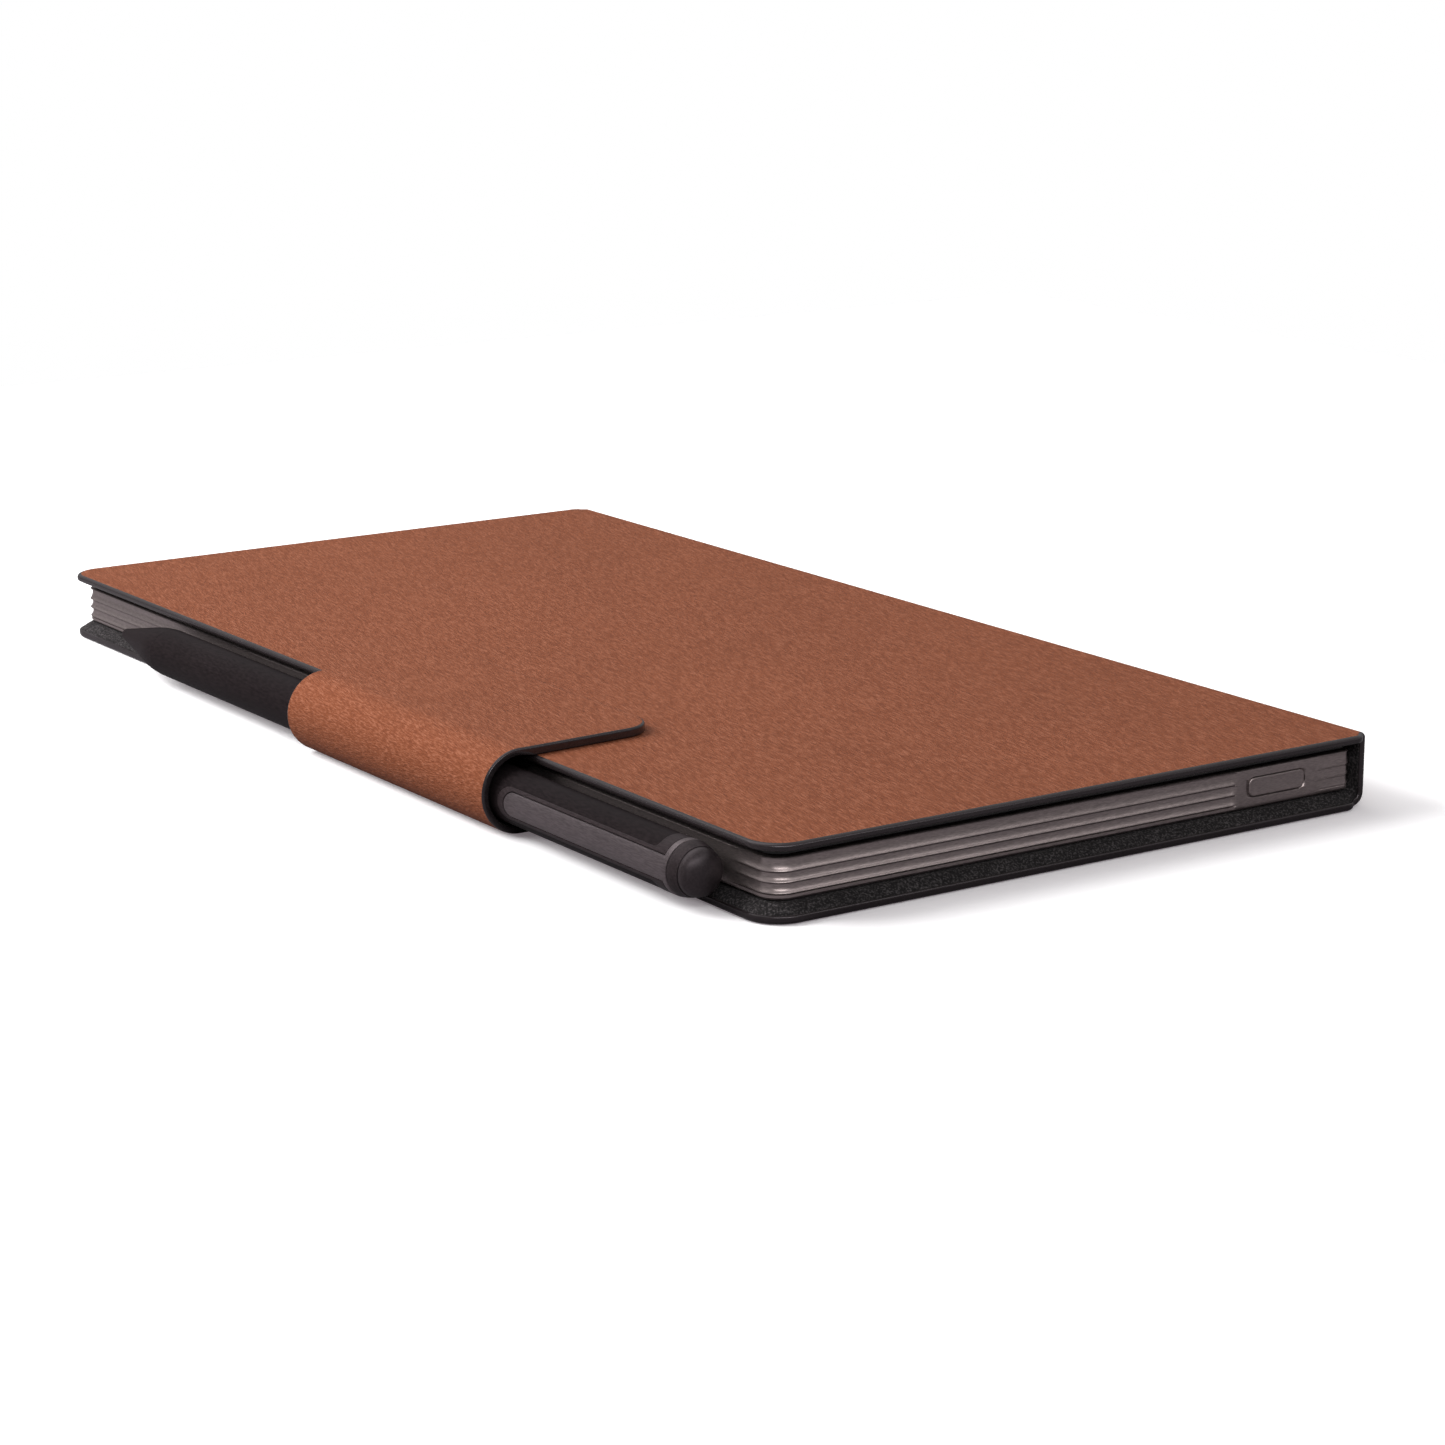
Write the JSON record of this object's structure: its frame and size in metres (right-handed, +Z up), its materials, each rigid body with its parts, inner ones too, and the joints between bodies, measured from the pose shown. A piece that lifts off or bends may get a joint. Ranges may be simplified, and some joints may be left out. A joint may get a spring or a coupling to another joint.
{
  "type": "e-reader",
  "caption": "Slim e-reader tablet fixed in a hinged leather folio, with a wrap-round strap that holds a digital pen along the fore-edge.",
  "frame": {"origin": "centre of the back cover's underside, on the surface it lies on", "axes": "+X to the fore-edge where the pen lies, -X to the spine, +Y to the end with the power button, +Z up"},
  "size_m": [0.1295, 0.24, 0.014],
  "materials": {
    "leather": "fine pebbled grain, brown",
    "lining": "dark microfibre",
    "board": "stiff fibre board",
    "adhesive": "black foam tape",
    "shell": "anodised, warm gunmetal, satin",
    "button": "anodised, warm gunmetal, satin",
    "plate": "raw sheet",
    "steel": "plain",
    "magnet": "nickel plated",
    "circuit": "green solder mask",
    "component": "moulded black",
    "flex": "copper polyimide",
    "cell": "foil pouch",
    "paper_screen": "light grey e-paper",
    "light_guide": "clear acrylic",
    "led": "white",
    "lens": "matt etched cover",
    "bezel": "fine matt black",
    "pen_shell": "soft-touch black",
    "pen_dome": "soft-touch black",
    "nib": "felt-like polymer",
    "coil": "copper wire",
    "ferrite": "sintered"
  },
  "bodies": {
    "case_back": {"back_cover_leather": "leather", "back_cover_pad": "lining", "back_cover_board": "board", "mounting_sheet": "adhesive", "crease_lower": "leather", "strap_wrap_leather": "leather", "strap_wrap_lining": "lining", "strap_crease": "leather", "chassis": "shell", "rear_plate": "plate", "rear_plate_screws": "steel", "mid_plate": "plate", "main_board": "circuit", "shield_cans": "steel", "battery_upper": "cell", "battery_lower": "cell", "battery_board": "circuit", "usb_c_socket": "steel", "usb_tongue": "component", "power_switch": "component", "speakers": "component", "microphone": "component", "antenna_strip": "flex", "hall_sensor": "component", "pen_magnets": "magnet", "closure_magnets": "magnet", "digitizer": "circuit", "epaper_panel": "paper_screen", "light_guide": "light_guide", "led_strip": "led", "display_flex": "flex", "cover_lens": "lens", "display_bezel": "bezel"},
    "spine": {"spine_leather": "leather", "spine_board": "board", "spine_lining": "lining", "crease_upper": "leather"},
    "front_cover": {"front_cover_leather": "leather", "front_cover_board": "board", "front_cover_lining": "lining", "cover_magnets": "magnet", "strap_keeper": "steel"},
    "strap_tab": {"strap_tab_leather": "leather", "strap_tab_lining": "lining", "strap_magnet": "magnet"},
    "power_button": {"power_button": "button"},
    "pen": {"pen_core": "shell", "pen_tongue": "shell", "pen_sleeve": "pen_shell", "pen_nose": "pen_shell", "pen_cap_ring": "pen_shell", "pen_circuit_board": "circuit", "pen_coil": "coil", "pen_ferrite": "ferrite", "pen_pressure_sensor": "component", "pen_magnet": "magnet", "pen_button_spring": "steel"},
    "pen_nib": {"pen_nib": "nib"},
    "pen_end_button": {"pen_end_button": "pen_dome"}
  },
  "joints": [
    {"name": "spine_fold", "type": "hinge", "parent": "case_back", "child": "spine", "pos_m": [-0.05925, 0, 0.00075], "axis": [0, -1, 0], "range_deg": [0, 90], "deforming": ["crease_lower"]},
    {"name": "cover_fold", "type": "hinge", "parent": "spine", "child": "front_cover", "pos_m": [-0.05957, 0, 0.01197], "axis": [0, -1, 0], "range_deg": [0, 90], "deforming": ["crease_upper"]},
    {"name": "strap_lift", "type": "hinge", "parent": "case_back", "child": "strap_tab", "pos_m": [0.0625, 0.0224, 0.014], "axis": [0, 1, 0], "range_deg": [0, 165], "deforming": ["strap_crease"]},
    {"name": "power_button_press", "type": "slide", "parent": "case_back", "child": "power_button", "axis": [0, -1, 0], "range_m": [0, 0.00035], "stiffness_N_per_m": 4000},
    {"name": "pen_slide", "type": "slide", "parent": "case_back", "child": "pen", "axis": [0, 1, 0], "range_m": [0, 0.15]},
    {"name": "nib_press", "type": "slide", "parent": "pen", "child": "pen_nib", "axis": [0, 1, 0], "range_m": [0, 0.0003], "stiffness_N_per_m": 3000},
    {"name": "end_button_press", "type": "slide", "parent": "pen", "child": "pen_end_button", "axis": [0, -1, 0], "range_m": [0, 0.0003], "stiffness_N_per_m": 3000, "deforming": ["pen_button_spring"]}
  ]
}
